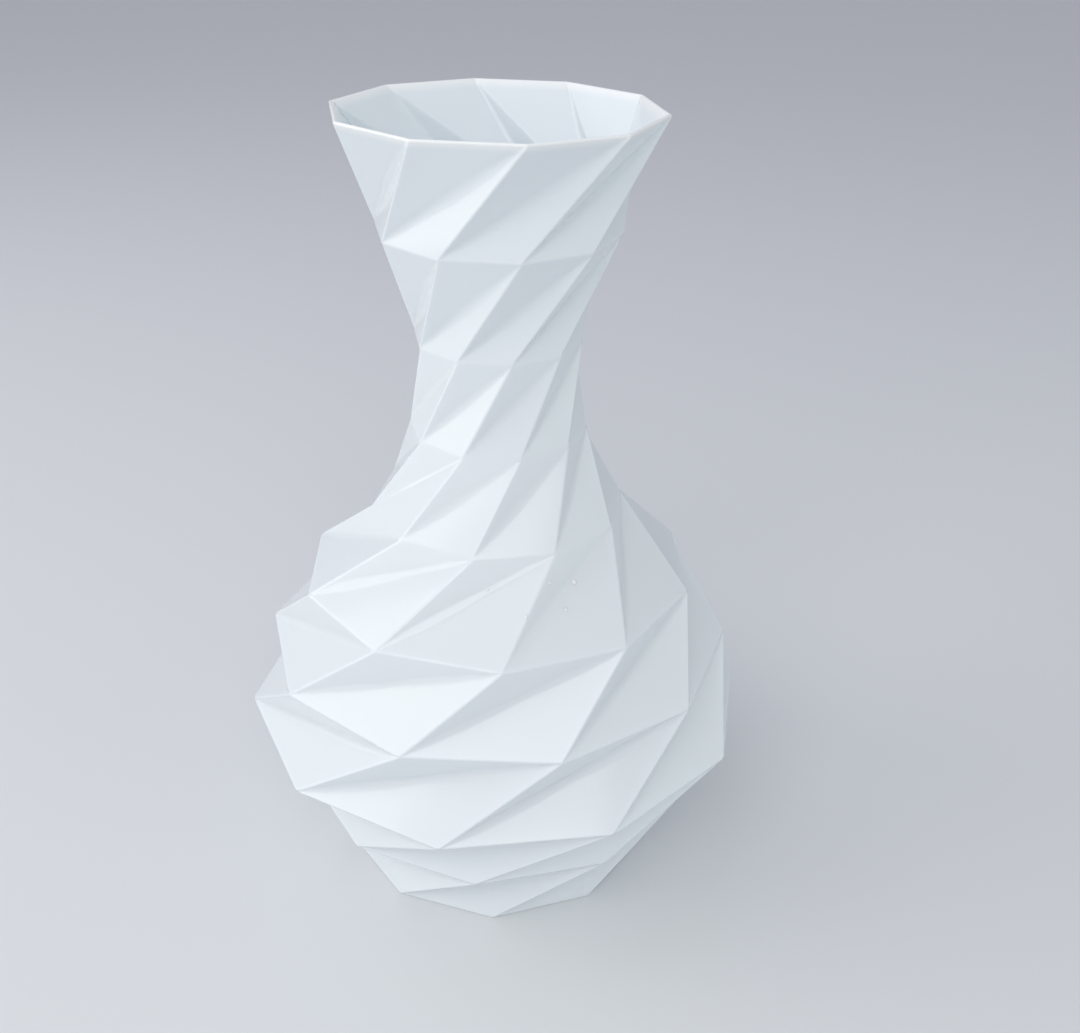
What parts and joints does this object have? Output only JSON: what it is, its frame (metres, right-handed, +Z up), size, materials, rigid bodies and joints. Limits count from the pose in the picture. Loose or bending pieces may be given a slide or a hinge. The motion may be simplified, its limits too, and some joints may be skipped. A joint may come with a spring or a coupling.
{
  "type": "faceted vase",
  "caption": "Free-standing white vase with a flared mouth, narrow neck and round belly, its skin folded into flat triangles by ridges that twist from rim to foot.",
  "frame": {"origin": "middle of the foot's underside, where the vase rests on the table", "axes": "+Z up along the vase's axis from the foot to the rim; the pictured side faces -Y and +X is to its right"},
  "size_m": [0.1332, 0.131, 0.2],
  "materials": {
    "white_plastic": "semi-gloss white printed plastic, slightly translucent, with fine layer lines"
  },
  "bodies": {
    "root": {"mouth_wall": "white_plastic", "neck_wall": "white_plastic", "shoulder_wall": "white_plastic", "belly_wall": "white_plastic", "foot_wall": "white_plastic", "solid_floor": "white_plastic"}
  },
  "joints": []
}
